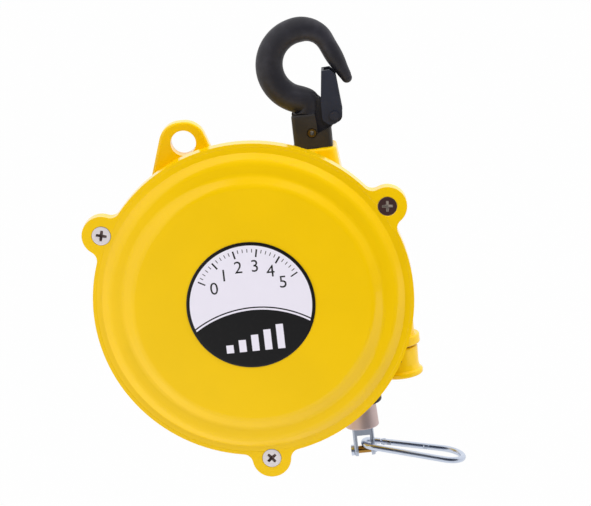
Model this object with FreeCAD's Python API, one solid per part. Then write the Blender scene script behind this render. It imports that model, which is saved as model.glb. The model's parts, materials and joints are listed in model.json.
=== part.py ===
"""Spring balancer for hand tools: a die-cast housing that hangs from a swivelling hook and
holds a tool on a wire rope, with the pull of a spiral spring on a grooved drum.

Working frame while modelling: the drum turns about the Y axis through x = z = 0, y = 0 is the
joint between cover and case, -Y is the front, +Z is up. Every solid is moved at the end, so
that the origin lies on the load point inside the hook bowl.
"""
import FreeCAD
import Part
import math
import os

V = FreeCAD.Vector

# ---------------------------------------------------------------- driving dimensions (mm)
RIM_R = 80.0                  # outer radius of cover and case at their joint
SCREW_CIRCLE_R = 82.2
LUG_R = 9.75
LUG_ANGLES = (150.0, 30.0, -90.0)
COVER_FLANGE = 3.0
CASE_FLANGE = 5.0
FACE_Y = -9.5                 # flat middle of the cover
COVER_WALL = 2.5
SHOULDER_Y = -6.4             # middle step of the cover
REAR_Y = 57.0                 # rear wall, outer face
BOSS_REAR_Y = 64.0            # end of the rear bearing boss

SCREW_R = 2.5                 # M5 countersunk
SCREW_HEAD_R = 5.1
SCREW_LENGTH = 14.0

LOAD_Y = 30.0                 # plane that holds hook, rope and snap hook
HOOK_X = 37.4                 # axis of the hook swivel
ROPE_X = 46.3                 # axis of the hanging rope
ROPE_R = 1.5
TURN_PITCH = 3.4              # drum groove pitch along Y
TURN_GROWTH = 0.8             # drum radius gained per turn
TURNS = 6

SHAFT_R = 6.0
RUN = 0.05                    # radial clearance of a running fit
HUB_R = 12.0

WHEEL_TEETH = 84
MODULE = 1.5
WHEEL_R = WHEEL_TEETH * MODULE / 2
KNOB_X = 68.7                 # axis of worm and adjusting knob
WORM_Y = 20.0
WORM_R = KNOB_X - WHEEL_R     # pitch radius of the worm
HOUSING_END_Z = -35.2         # lower face of the worm housing
KNOB_PIN_Z = -42.0
TOOTH_ADD = 1.3
TOOTH_DED = 1.8
BACKLASH = 0.5

BOSS_TOP_Z = 69.0             # rim of the boss, round a recess for the upper washer
BOSS_SEAT_Z = 68.0            # floor of that recess
BOSS_FLOOR_Z = 63.55          # underside of the boss, where the lower washer runs
BOLT_R = 5.0
THREAD_R = 4.0
FORK_HALF_X = 9.6             # fork block that takes the hook's tang
FORK_HALF_Y = 8.0
FORK_TOP_Z = 86.2
TANG_HALF = 4.2
HOOK_PIN_Z = 76.7
HOOK_PIN_R = 2.1
BOWL_Z = 110.3                # centre of the big arc of the hook
BOWL_R = 17.9                 # centre line of the big arc
BOWL_TOP_SECTION = 6.3
BEAK_ARC_R = 12.6
BEAK_ANGLE = 24.0
BEAK_LENGTH = 21.0
LATCH_X, LATCH_Z = 49.4, 84.0

CHAIN_X, CHAIN_Z = -26.7, 79.7
CHAIN_HOLE_R = 6.35
CHAIN_LUG_Y = (16.0, 24.0)

GUIDE_Z = -64.0
SLEEVE_TOP_Z = -67.3
BUFFER_END_Z = -71.3
SLEEVE_END_Z = -80.0
CLEVIS_PIN_Z = -92.8
CLEVIS_HALF = 5.4
CLEVIS_GAP = 3.4              # half the gap between the prongs
WIRE_R = 1.6
BUSH_R = 1.9
RING_SEAT = 0.8               # half of the straight wire that lies on the bush
RING_NARROW_R = 5.0           # centre line of the small bends of the snap hook
RING_WIDE_R = 9.3
RING_WIDE_AT = 42.2           # distance between the apex and the centre of the wide bend
RING_DROOP = 14.5             # degrees below level, as it lies in the rest pose
APEX_Z = CLEVIS_PIN_Z + BUSH_R + WIRE_R + RUN

LOAD_POINT = V(HOOK_X, LOAD_Y, BOWL_Z + BOWL_R - BOWL_TOP_SECTION)


# ---------------------------------------------------------------- helpers
def rounded(corners, place):
    """Closed wire through corners (a, b[, radius]); a corner with a radius becomes an arc."""
    spots = [(c[0], c[1], c[2] if len(c) > 2 else 0.0) for c in corners]
    count = len(spots)
    legs = []
    for i, (a, b, radius) in enumerate(spots):
        here = V(a, b, 0)
        if radius == 0:
            legs.append((here, here, here))
            continue
        before = (V(spots[i - 1][0], spots[i - 1][1], 0) - here).normalize()
        after = (V(spots[(i + 1) % count][0], spots[(i + 1) % count][1], 0) - here).normalize()
        half = before.getAngle(after) / 2
        reach = radius / math.tan(half)
        middle = (before + after).normalize() * (radius / math.sin(half) - radius)
        legs.append((here + before * reach, here + middle, here + after * reach))
    edges = []
    for i, (start, mid, end) in enumerate(legs):
        if (end - start).Length > 1e-6:
            edges.append(Part.Arc(*[place(p.x, p.y) for p in (start, mid, end)]).toShape())
        following = legs[(i + 1) % count][0]
        if (following - end).Length > 1e-6:
            edges.append(Part.LineSegment(place(end.x, end.y),
                                          place(following.x, following.y)).toShape())
    return Part.Wire(edges)


def turned_y(corners):
    """Solid of revolution about the drum axis; corners are (radius, y[, fillet])."""
    face = Part.Face(rounded(corners, lambda r, y: V(r, y, 0)))
    return face.revolve(V(0, 0, 0), V(0, 1, 0), 360)


def turned_z(x, y, corners):
    """Solid of revolution about an upright axis; corners are (radius, z[, fillet])."""
    face = Part.Face(rounded(corners, lambda r, z: V(x + r, y, z)))
    return face.revolve(V(x, y, 0), V(0, 0, 1), 360)


def plate_y(corners, y0, y1):
    """Flat plate with its outline in X and Z."""
    face = Part.Face(rounded(corners, lambda x, z: V(x, y0, z)))
    return face.extrude(V(0, y1 - y0, 0))


def cyl_x(y, z, r, x0, x1):
    return Part.makeCylinder(r, x1 - x0, V(x0, y, z), V(1, 0, 0))


def cyl_y(x, z, r, y0, y1):
    return Part.makeCylinder(r, y1 - y0, V(x, y0, z), V(0, 1, 0))


def cyl_z(x, y, r, z0, z1):
    return Part.makeCylinder(r, z1 - z0, V(x, y, z0), V(0, 0, 1))


def cone_y(x, z, r0, r1, y0, y1):
    return Part.makeCone(r0, r1, y1 - y0, V(x, y0, z), V(0, 1, 0))


def box(x0, x1, y0, y1, z0, z1):
    return Part.makeBox(x1 - x0, y1 - y0, z1 - z0, V(x0, y0, z0))


def joined(*solids):
    return solids[0].fuse(list(solids[1:])).removeSplitter()


def hex_y(across, y0, y1, hole):
    corner = across / math.sqrt(3)
    points = [(corner * math.cos(k * math.pi / 3), corner * math.sin(k * math.pi / 3))
              for k in range(6)]
    return plate_y(points, y0, y1).cut(cyl_y(0, 0, hole, y0, y1))


def around_y(solid, degrees):
    """Copy turned about the drum axis, counter-clockwise seen from the front."""
    turned = solid.copy()
    turned.rotate(V(0, 0, 0), V(0, -1, 0), degrees)
    return turned


def screw_spots():
    return [(SCREW_CIRCLE_R * math.cos(math.radians(a)), SCREW_CIRCLE_R * math.sin(math.radians(a)))
            for a in LUG_ANGLES]


def lug_plate(y0, y1, hollow_r):
    """Round flange with three ears blended into it, as cover and case both have."""
    plate = joined(cyl_y(0, 0, RIM_R, y0, y1),
                   *[cyl_y(x, z, LUG_R, y0, y1) for x, z in screw_spots()])
    creases = [e for e in plate.Edges
               if len(e.Vertexes) == 2 and abs(e.Vertexes[0].Point.y - e.Vertexes[1].Point.y) > 1
               and abs(math.hypot(e.Vertexes[0].Point.x, e.Vertexes[0].Point.z) - RIM_R) < 0.01]
    return plate.makeFillet(5.0, creases).cut(cyl_y(0, 0, hollow_r, y0 - 1, y1 + 1))


# ---------------------------------------------------------------- housing
def front_cover():
    """Pressed dish: flat middle, two sloping steps, a groove and a rounded rim bead."""
    wall_y = FACE_Y + COVER_WALL
    dish = turned_y([
        (0, FACE_Y), (59.9, FACE_Y, 5), (64.9, SHOULDER_Y, 4), (71.4, SHOULDER_Y + 0.2, 5),
        (76.7, -2.0, 1.0), (77.7, -1.9, 0.3), (78.1, -COVER_FLANGE, 0.4),
        (RIM_R, -COVER_FLANGE, 1.2), (RIM_R, 0), (74.2, 0), (74.2, 2.2, 0.4), (72.2, 2.2, 0.4),
        (72.2, -1.4, 0.8), (69.9, -3.7, 2), (63.8, -3.9, 2), (59.0, wall_y, 2), (11, wall_y, 1),
        (11, -1.2, 0.5), (SHAFT_R + RUN, -1.2), (SHAFT_R + RUN, -6.3), (0, -6.3)])
    cover = joined(dish, lug_plate(-COVER_FLANGE, 0, 79.0))
    for x, z in screw_spots():
        cover = cover.cut(cyl_y(x, z, SCREW_R + 0.3, -4, 1))
        cover = cover.cut(cone_y(x, z, SCREW_HEAD_R + 0.05, SCREW_R, -COVER_FLANGE, -0.35))
    return cover


def case_cavity():
    """Inside of the case: wide spring chamber in front, narrower drum chamber behind."""
    return turned_y([
        (0, -1), (74.5, -1), (74.5, 3.0), (73.4, 3.0), (70.6, 23.2, 5), (57.2, 31.2, 5),
        (56.4, 53.5, 4), (13, 53.5, 1), (13, 52.2), (0, 52.2)])


def hook_boss():
    """Tapered square column with round corners, that carries the hook swivel."""
    def outline(half, z):
        return rounded([(-half, -half, 4.5), (half, -half, 4.5), (half, half, 4.5),
                        (-half, half, 4.5)], lambda a, b: V(HOOK_X + a, LOAD_Y + b, z))
    column = Part.makeLoft([outline(14.2, 40), outline(11.3, BOSS_TOP_Z)], True, True)
    rims = [e for e in column.Edges if e.BoundBox.ZMin > BOSS_TOP_Z - 0.01]
    return column.makeFillet(1.5, rims)


def chain_lug():
    """Ear for the safety chain, rounded over its hole."""
    outline = [(-50, 50), (-45.2, 62.3, 5), (-36.0, 90.2, 10.8), (-18.3, 90.2, 10.8),
               (-12.6, 73.2, 4), (-4, 62)]
    ear = plate_y(outline, *CHAIN_LUG_Y)
    arc_edges = [e for e in ear.Edges if e.Length > 4 and e.BoundBox.ZMin > 66
                 and e.BoundBox.YLength < 0.01]
    return ear.makeFillet(1.2, arc_edges)


def rear_case():
    """Die-cast case with flange ears, hook boss, chain ear, rope outlet and worm housing."""
    shell = turned_y([
        (0, 0), (RIM_R, 0), (RIM_R, CASE_FLANGE, 1.2), (76.6, CASE_FLANGE, 1.5),
        (73.6, 25.4, 6), (60.4, 33.4, 7), (59.2, REAR_Y, 6), (19, REAR_Y, 3),
        (16.5, BOSS_REAR_Y, 1), (0, BOSS_REAR_Y)])
    case = joined(shell, lug_plate(0, CASE_FLANGE, 76.0))
    for x, z in screw_spots():
        case = case.fuse(cone_y(x, z, 7.4, 5.6, CASE_FLANGE - 0.5, 13.5))
    rib = Part.Face(rounded([(15, REAR_Y - 1), (52.5, REAR_Y - 1), (51.5, REAR_Y + 0.8, 2),
                             (18, REAR_Y + 4.2), (15, REAR_Y + 4.2)],
                            lambda x, y: V(x, y, -1.5))).extrude(V(0, 0, 3))
    ribs = [around_y(rib, 30 + 60 * k) for k in range(6)]
    housing = turned_z(KNOB_X, WORM_Y, [
        (0, HOUSING_END_Z), (11.7, HOUSING_END_Z, 0.8), (11.7, -30.3, 0.9), (9.3, -30.3, 0.3),
        (9.3, 14.0, 2), (5.5, 17.0, 1), (5.5, 21.0, 1.5), (0, 21.0)])
    pocket_wall = shell.common(cyl_z(KNOB_X, WORM_Y, 14.2, -60, HOUSING_END_Z))
    nozzle = turned_z(ROPE_X, LOAD_Y, [(0, GUIDE_Z), (10.3, GUIDE_Z, 1), (11.2, -34), (0, -34)])
    case = joined(case, hook_boss(), chain_lug(), housing, nozzle, *ribs)
    case = case.cut(case_cavity()).fuse(pocket_wall)
    case = case.cut(cyl_z(KNOB_X, WORM_Y, 12.6, -60, HOUSING_END_Z))
    case = case.cut(cyl_y(0, 0, SHAFT_R, 50, BOSS_REAR_Y + 1))
    for x, z in screw_spots():
        case = case.cut(cyl_y(x, z, SCREW_R, -1, 12.5))
    case = case.cut(cyl_y(CHAIN_X, CHAIN_Z, CHAIN_HOLE_R, 10, 30))
    case = case.cut([
        cyl_z(HOOK_X, LOAD_Y, BOLT_R + RUN, 50, BOSS_TOP_Z + 1),
        cyl_z(HOOK_X, LOAD_Y, 9.2, BOSS_SEAT_Z, BOSS_TOP_Z + 1),
        cyl_z(HOOK_X, LOAD_Y, 9.8, 36, BOSS_FLOOR_Z),
        cyl_z(KNOB_X, WORM_Y, 7.5, -38, 13.8),
        cyl_z(KNOB_X, WORM_Y, 3.0 + RUN, 12, 19.5),
        cyl_z(ROPE_X, LOAD_Y, 7.0, GUIDE_Z - 1, -49),
        cyl_z(ROPE_X, LOAD_Y, 4.0, -50, -28)])
    return case


def cover_screws():
    """Three M5 countersunk screws; each is one solid."""
    screws = []
    for x, z in screw_spots():
        head = cone_y(x, z, SCREW_HEAD_R, SCREW_R, -COVER_FLANGE, -0.4)
        shank = cyl_y(x, z, SCREW_R, -0.5, SCREW_LENGTH - COVER_FLANGE)
        slots = [box(x - w, x + w, -4, -1.7, z - h, z + h) for w, h in ((2.6, 0.55), (0.55, 2.6))]
        screws.append(joined(head, shank).cut(slots))
    return Part.makeCompound(screws)


def label_plate():
    return cyl_y(-1.0, 0, 32.0, FACE_Y - 0.4, FACE_Y)


# ---------------------------------------------------------------- drum and shaft
def main_shaft():
    """Fixed shaft, pressed into the rear boss and held by a nut."""
    return turned_y([
        (0, -5.5), (SHAFT_R, -5.5, 0.8), (SHAFT_R, -0.9), (5.2, -0.9), (5.2, 0.3), (SHAFT_R, 0.3),
        (SHAFT_R, BOSS_REAR_Y - 2), (5.0, BOSS_REAR_Y - 1.4), (5.0, 71.0, 0.8), (0, 71.0)])


def shaft_washer():
    return cyl_y(0, 0, 10, BOSS_REAR_Y, 65.4).cut(cyl_y(0, 0, 5.0, 63, 67))


def shaft_nut():
    nut = hex_y(16.0, 65.4, 70.2, 5.0)
    return nut.common(cone_y(0, 0, 12.3, 8.1, 65.4, 71.2))


def shaft_circlip():
    """Retaining ring with its gap and two eyes."""
    ring = cyl_y(0, 0, 7.6, -0.8, 0.2).cut(cyl_y(0, 0, 5.2, -2, 2))
    eyes = [cyl_y(s * 2.4, 8.0, 1.7, -0.8, 0.2) for s in (-1, 1)]
    ring = joined(ring, *eyes).cut(box(-0.9, 0.9, -2, 2, 0, 12))
    return ring.cut([cyl_y(s * 2.4, 8.2, 0.7, -2, 2) for s in (-1, 1)])


def drum_bushes():
    return Part.makeCompound([cyl_y(0, 0, 8.0, y, y + 10).cut(cyl_y(0, 0, SHAFT_R + RUN, y, y + 10))
                              for y in (1.4, 41.2)])


def drum_spacer():
    return cyl_y(0, 0, 11.5, 51.4, 52.1).cut(cyl_y(0, 0, SHAFT_R + 0.2, 51, 53))


def turn_spots():
    """Radius and y of the rope centre in each groove of the tapered drum."""
    return [(ROPE_X + TURN_GROWTH * k, LOAD_Y + TURN_PITCH * k) for k in range(TURNS)]


def rope_bed(depth):
    """Edges along the grooved face, from front to rear: scallops joined by flat ridges."""
    half = math.sqrt(ROPE_R ** 2 - depth ** 2)
    edges = []
    last = None
    for r, y in turn_spots():
        start, end = V(r - depth, y - half, 0), V(r - depth, y + half, 0)
        if last:
            edges.append(Part.LineSegment(last, start).toShape())
        edges.append(Part.Arc(start, V(r - ROPE_R, y, 0), end).toShape())
        last = end
    return edges, edges[0].Vertexes[0].Point, last


def strung(points):
    return [Part.LineSegment(a, b).toShape() for a, b in zip(points, points[1:])]


def cable_drum():
    """Tapered rope drum: long hub, web with round openings, rim with six rope grooves."""
    bed, first, last = rope_bed(0.6)
    edges = strung([first, V(first.x, 28.2, 0), V(53, 28.2, 0), V(53, 26.9, 0), V(41.5, 26.9, 0),
                    V(42.5, 36.5, 0), V(HUB_R, 36.5, 0), V(HUB_R, 0.6, 0), V(8, 0.6, 0),
                    V(8, 51.3, 0), V(HUB_R + 1.5, 51.3, 0), V(HUB_R + 1.5, 40.5, 0),
                    V(43.5, 40.5, 0), V(45.5, 50.6, 0), V(54.6, 50.6, 0), V(54.6, 49.2, 0),
                    V(last.x, 49.2, 0), last]) + bed
    profile = Part.Wire(Part.__sortEdges__(edges))
    drum = Part.Face(profile).revolve(V(0, 0, 0), V(0, 1, 0), 360)
    openings = [around_y(cyl_y(28, 0, 8.5, 30, 45), 30 + 60 * k) for k in range(6)]
    spring_slot = box(9.6, 13, 0, 19.6, -0.65, 0.65)
    return drum.cut(openings + [spring_slot])


def wound_cable():
    """The wound rope as one closed body with the outer shape of its six turns."""
    bed, first, last = rope_bed(0.6)
    half = 1.3
    outer = []
    for r, y in turn_spots():
        crown = math.sqrt(ROPE_R ** 2 - half ** 2)
        points = (V(r + crown, y - half, 0), V(r + ROPE_R, y, 0), V(r + crown, y + half, 0))
        if outer:
            outer.append(Part.LineSegment(end, points[0]).toShape())
        outer.append(Part.Arc(*points).toShape())
        end = points[2]
    start = outer[0].Vertexes[0].Point
    edges = bed + outer + strung([first, start]) + strung([last, end])
    return Part.Face(Part.Wire(Part.__sortEdges__(edges))).revolve(V(0, 0, 0), V(0, 1, 0), 360)


# ---------------------------------------------------------------- spring and its adjustment
def power_spring():
    """Spiral strip of half circles about two centres, hooked into drum hub and spring case."""
    turns, inner, outer, thick = 9, 12.9, 54.4, 0.8
    pitch = (outer - inner) / turns

    def half_circles(offset):
        arcs = []
        for k in range(2 * turns):
            middle, side = (0.0, 1) if k % 2 == 0 else (pitch / 2, -1)
            r = inner + offset + pitch * k / 2
            points = [V(middle + side * r, 1.2, 0), V(middle, 1.2, side * r),
                      V(middle - side * r, 1.2, 0)]
            arcs.append(Part.Arc(*points).toShape())
        return arcs
    low, high = half_circles(0), half_circles(thick)
    ends = strung([V(inner, 1.2, 0), V(inner + thick, 1.2, 0)])
    ends += strung([V(outer, 1.2, 0), V(outer + thick, 1.2, 0)])
    strip = Part.Face(Part.Wire(Part.__sortEdges__(low + high + ends))).extrude(V(0, 18, 0))
    inner_end = box(9.9, 13.4, 1.2, 19.2, -0.4, 0.4)
    outer_end = box(54.6, 57.2, 1.2, 19.2, -0.4, 0.4)
    return joined(strip, inner_end, outer_end)


def toothed_rim(y0, y1):
    """Worm-wheel rim: slanted teeth made as one ruled body between two turned outlines."""
    pitch = 2 * math.pi / WHEEL_TEETH
    lead = math.atan(MODULE / (2 * WORM_R))

    def outline(y):
        turn = (WORM_Y - y) * math.tan(lead) / WHEEL_R
        root, tip = WHEEL_R - TOOTH_DED, WHEEL_R + TOOTH_ADD
        half_root = (math.pi * MODULE / 4 + TOOTH_DED * math.tan(math.radians(20))
                     - BACKLASH / 2) / WHEEL_R
        half_tip = (math.pi * MODULE / 4 - TOOTH_ADD * math.tan(math.radians(20))
                    - BACKLASH / 2) / WHEEL_R
        points = []
        for k in range(WHEEL_TEETH):
            for r, shift in ((root, -half_root), (tip, -half_tip), (tip, half_tip),
                             (root, half_root)):
                angle = k * pitch + turn + shift
                points.append(V(r * math.cos(angle), y, r * math.sin(angle)))
        return Part.makePolygon(points + points[:1])
    return Part.makeLoft([outline(y0), outline(y1)], True, True).cut(cyl_y(0, 0, 59, y0, y1))


def spring_case():
    """Pan that holds the spring; its rear rim carries the worm-wheel teeth."""
    pan = turned_y([
        (58.5, 0), (60.0, 0, 0.4), (60.0, 24.5), (14.5, 24.5), (14.5, 20.2), (18, 20.2, 0.6),
        (19, 22.0, 0.8), (55.4, 22.0, 2), (55.4, 0)])
    pan = joined(pan, toothed_rim(16.0, 24.0))
    slot = box(54, 57.6, -1, 20.2, -0.7, 0.7)
    rivet_holes = [around_y(cyl_y(57.7, 0, 1.2, -1, 5), 30 + 60 * k) for k in range(6)]
    return pan.cut([slot] + rivet_holes)


def spring_case_lid():
    lid = turned_y([(12.6, -1.2), (59.8, -1.2, 0.4), (59.8, 0), (12.6, 0)])
    windows = [around_y(cyl_y(33, 0, 6, -2, 1), 60 * k) for k in range(6)]
    rivet_holes = [around_y(cyl_y(57.7, 0, 1.2, -2, 1), 30 + 60 * k) for k in range(6)]
    return lid.cut(windows + rivet_holes)


def lid_rivets():
    rivet = turned_y([(0, -2.0), (1.9, -2.0, 0.6), (1.9, -1.2), (1.2, -1.2), (1.2, 4.6), (0, 4.6)])
    rivet.translate(V(57.7, 0, 0))
    return Part.makeCompound([around_y(rivet, 30 + 60 * k) for k in range(6)])


def spring_case_bush():
    return cyl_y(0, 0, 14.5, 20.2, 25.2).cut(cyl_y(0, 0, HUB_R + RUN, 20, 26))


def worm_shaft():
    """Worm with its thread cut as a real helix, upper journal, lower journal for the knob."""
    core_r = WORM_R - TOOTH_DED + 0.3
    core = turned_z(KNOB_X, WORM_Y, [
        (0, -48.4), (4.0, -48.4, 0.6), (4.0, -14.6), (core_r, -14.6), (core_r, 12.8),
        (3.0, 12.8), (3.0, 19.0, 0.5), (0, 19.0)])
    lead = math.pi * MODULE
    turns, low = 5, -2.5 * math.pi * MODULE
    slope = math.tan(math.radians(20))
    tip = WORM_R + TOOTH_ADD
    deep = core_r - 0.5
    half_tip = lead / 4 - TOOTH_ADD * slope - BACKLASH / 2
    half_deep = lead / 4 + (WORM_R - deep) * slope - BACKLASH / 2
    spine = Part.Wire(Part.makeHelix(lead, turns * lead, WORM_R))
    section = Part.makePolygon([V(deep, 0, -half_deep), V(tip, 0, -half_tip), V(tip, 0, half_tip),
                                V(deep, 0, half_deep), V(deep, 0, -half_deep)])
    thread = spine.makePipeShell([section], True, True)
    thread.rotate(V(0, 0, 0), V(0, 0, 1), 180)
    thread.translate(V(KNOB_X, WORM_Y, low))
    return core.fuse(thread).cut(cyl_y(KNOB_X, KNOB_PIN_Z, 1.5, WORM_Y - 9, WORM_Y + 9))


def worm_bush():
    bush = cyl_z(KNOB_X, WORM_Y, 7.5, HOUSING_END_Z + 0.1, -21.5)
    return bush.cut(cyl_z(KNOB_X, WORM_Y, 4.0 + RUN, -38, -14))


def knob_washer():
    washer = cyl_z(KNOB_X, WORM_Y, 8.0, HOUSING_END_Z - 0.95, HOUSING_END_Z - 0.05)
    return washer.cut(cyl_z(KNOB_X, WORM_Y, 4.2, -39, -35))


def adjusting_knob():
    """Bell-shaped knob with a thick rim, pinned to the lower end of the worm shaft."""
    top = HOUSING_END_Z - 1.1
    bell = turned_z(KNOB_X, WORM_Y, [
        (4.0, top), (10.2, top, 1.0), (9.9, -45.8, 6), (10.5, -48.2, 0.8), (11.7, -48.9, 0.9),
        (11.7, -51.4, 1.1), (9.8, -51.4, 0.6), (8.6, -48.9, 1), (4.0, -48.2)])
    return bell.cut(cyl_y(KNOB_X, KNOB_PIN_Z, 1.5, WORM_Y - 12, WORM_Y + 12))


def knob_pin():
    pin = cyl_y(KNOB_X, KNOB_PIN_Z, 1.5, WORM_Y - 9.2, WORM_Y + 9.2)
    return pin.cut(cyl_y(KNOB_X, KNOB_PIN_Z, 0.8, WORM_Y - 10, WORM_Y + 10))


# ---------------------------------------------------------------- hook
def hook_path(t):
    """Centre line of the hook in X and Z with its heading and section radius, for t in 0..1."""
    neck_r = 7.2
    rise = math.sqrt((BOWL_R + neck_r) ** 2 - neck_r ** 2)
    neck_z = BOWL_Z - rise
    turn = math.asin(rise / (BOWL_R + neck_r))
    lengths = (neck_r * turn, BOWL_R * (math.pi / 2 + turn),
               BEAK_ARC_R * math.radians(90 - BEAK_ANGLE), BEAK_LENGTH)
    walked = t * sum(lengths)
    if walked <= lengths[0]:
        a = walked / neck_r
        x, z, heading = HOOK_X - neck_r * (1 - math.cos(a)), neck_z + neck_r * math.sin(a), a
    elif walked <= lengths[0] + lengths[1]:
        a = math.pi + turn - (walked - lengths[0]) / BOWL_R
        x, z, heading = HOOK_X + BOWL_R * math.cos(a), BOWL_Z + BOWL_R * math.sin(a), a - math.pi
    else:
        centre = BOWL_Z + BOWL_R - BEAK_ARC_R
        a = math.pi / 2 - min(walked - lengths[0] - lengths[1], lengths[2]) / BEAK_ARC_R
        x, z = HOOK_X + BEAK_ARC_R * math.cos(a), centre + BEAK_ARC_R * math.sin(a)
        heading = a - math.pi
        beyond = max(0.0, walked - sum(lengths[:3]))
        x -= beyond * math.sin(heading)
        z += beyond * math.cos(heading)
    top = (lengths[0] + lengths[1]) / sum(lengths)
    if t < top:
        radius = 7.0 - 0.1 * min(1.0, t / top * 2) - 0.6 * max(0.0, t / top * 2 - 1)
    else:
        radius = BOWL_TOP_SECTION - 1.7 * min(1.0, (t - top) / 0.16)
        radius -= 2.0 * max(0.0, (t - 0.86) / 0.14) ** 1.3
    return x, z, heading, radius


def suspension_hook():
    """Forged hook: swept body with a round section, flat tang below it and lug for the latch."""
    sections = []
    for k in range(25):
        x, z, heading, radius = hook_path(k / 24)
        ring = Part.Wire(Part.Circle(V(0, 0, 0), V(0, 0, 1), radius).toShape())
        ring.rotate(V(0, 0, 0), V(0, 1, 0), -math.degrees(heading))
        ring.translate(V(x, LOAD_Y, z))
        sections.append(ring)
    body = Part.makeLoft(sections, True)
    x, z, heading, radius = hook_path(1)
    tip = Part.makeSphere(radius * 1.02, V(x, LOAD_Y, z))
    plate = plate_y([(28.6, 72.7, 3), (46.4, 72.7, 3), (47.4, 79.2, 2), (49.4, 79.6),
                     (53.3, 80.1, 3.8), (53.3, 88.0, 3.8), (46.5, 91.2, 2), (43.4, 92.4, 1),
                     (40.3, 95.6, 1), (37.0, 96.5), (34.0, 90.0), (32.5, 85.8), (30.0, 84.0)],
                    LOAD_Y - TANG_HALF, LOAD_Y + TANG_HALF)
    hook = body.fuse(plate).fuse(tip)
    spring_room = cyl_y(LATCH_X, LATCH_Z, 4.6, LOAD_Y - 8, LOAD_Y - 1.8)
    leg_room = box(45.8, 47.9, LOAD_Y - 8, LOAD_Y - 3.4, LATCH_Z, 95)
    cheek_room = [cyl_y(LATCH_X, LATCH_Z, 10.0, y, y + 6)
                  for y in (LOAD_Y - TANG_HALF - 6, LOAD_Y + TANG_HALF)]
    return hook.cut([spring_room, leg_room, cyl_y(LATCH_X, LATCH_Z, 1.7, 20, 40),
                     cyl_y(HOOK_X, HOOK_PIN_Z, HOOK_PIN_R, 15, 45)] + cheek_room)


def swivel_socket():
    """Swivel bolt with a fork block: slot for the tang, front and rear cut back at the latch."""
    def outline(z):
        return rounded([(-FORK_HALF_X, -FORK_HALF_Y, 2), (FORK_HALF_X, -FORK_HALF_Y, 2),
                        (FORK_HALF_X, FORK_HALF_Y, 2), (-FORK_HALF_X, FORK_HALF_Y, 2)],
                       lambda a, b: V(HOOK_X + a, LOAD_Y + b, z))
    low = BOSS_SEAT_Z + 1.15
    block = Part.Face(outline(low)).extrude(V(0, 0, FORK_TOP_Z - low))
    rims = [e for e in block.Edges if e.BoundBox.ZMin > FORK_TOP_Z - 0.01]
    block = block.makeFillet(1.0, rims)
    bolt = turned_z(HOOK_X, LOAD_Y, [
        (0, 54.6), (THREAD_R, 54.6, 0.7), (THREAD_R, BOSS_FLOOR_Z), (BOLT_R, BOSS_FLOOR_Z),
        (BOLT_R, low + 1), (0, low + 1)])
    slot = box(HOOK_X - 20, HOOK_X + 20, LOAD_Y - TANG_HALF - 0.05, LOAD_Y + TANG_HALF + 0.05,
               72.6, 90)
    cutback = plate_y([(39.2, 90), (40.2, 80.2), (40.1, 76.2), (47.1, 78.9), (60, 78.9), (60, 90)],
                      15, 45)
    sinks = [cyl_y(HOOK_X, HOOK_PIN_Z, 2.6, y, y + 4)
             for y in (LOAD_Y - FORK_HALF_Y - 3, LOAD_Y + FORK_HALF_Y - 1)]
    return joined(block, bolt).cut([slot, cutback, cyl_y(HOOK_X, HOOK_PIN_Z, HOOK_PIN_R, 15, 45)]
                                   + sinks)


def hook_pin():
    """Hollow roll pin through fork and tang."""
    pin = cyl_y(HOOK_X, HOOK_PIN_Z, HOOK_PIN_R, LOAD_Y - 7.6, LOAD_Y + 7.6)
    return pin.cut(cyl_y(HOOK_X, HOOK_PIN_Z, 1.1, 15, 45))


def swivel_washers():
    """Washers above and below the boss, one solid each."""
    spans = ((BOSS_SEAT_Z + 0.05, BOSS_SEAT_Z + 1.1, BOLT_R), (61.9, BOSS_FLOOR_Z - 0.05, THREAD_R))
    return Part.makeCompound([cyl_z(HOOK_X, LOAD_Y, 8.8, z0, z1).cut(
        cyl_z(HOOK_X, LOAD_Y, hole + 0.05, z0 - 1, z1 + 1)) for z0, z1, hole in spans])


def swivel_nut():
    corner = 13.0 / math.sqrt(3)
    points = [V(HOOK_X + corner * math.cos(k * math.pi / 3),
                LOAD_Y + corner * math.sin(k * math.pi / 3), 55.9) for k in range(7)]
    nut = Part.Face(Part.makePolygon(points)).extrude(V(0, 0, 5.95))
    return nut.cut(cyl_z(HOOK_X, LOAD_Y, THREAD_R, 49, 63))


def hook_latch():
    """Folded sheet channel: two cheeks on the rivet and a web that bears on the beak."""
    def cheek(y0, y1):
        return plate_y([(43.2, 82.4, 2.0), (43.4, 92.0), (45.2, 107.1, 0.5), (49.3, 107.4, 0.5),
                        (52.0, 104.7, 0.6), (53.7, 84.4, 4.3), (49.7, 79.3, 4), (46.0, 79.9, 1.5)],
                       y0, y1)
    web = plate_y([(44.2, 98.5), (45.2, 107.1), (46.4, 106.9), (45.4, 98.5)],
                  LOAD_Y - 5.7, LOAD_Y + 5.7)
    latch = joined(cheek(LOAD_Y - 5.7, LOAD_Y - 4.5), cheek(LOAD_Y + 4.5, LOAD_Y + 5.7), web)
    return latch.cut(cyl_y(LATCH_X, LATCH_Z, 1.6 + RUN, 20, 40))


def latch_rivet():
    body = cyl_y(LATCH_X, LATCH_Z, 1.6, LOAD_Y - 6.2, LOAD_Y + 6.2)
    heads = [cyl_y(LATCH_X, LATCH_Z, 2.4, y, y + 0.6) for y in (LOAD_Y - 6.4, LOAD_Y + 5.8)]
    return joined(body, *heads)


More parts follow.
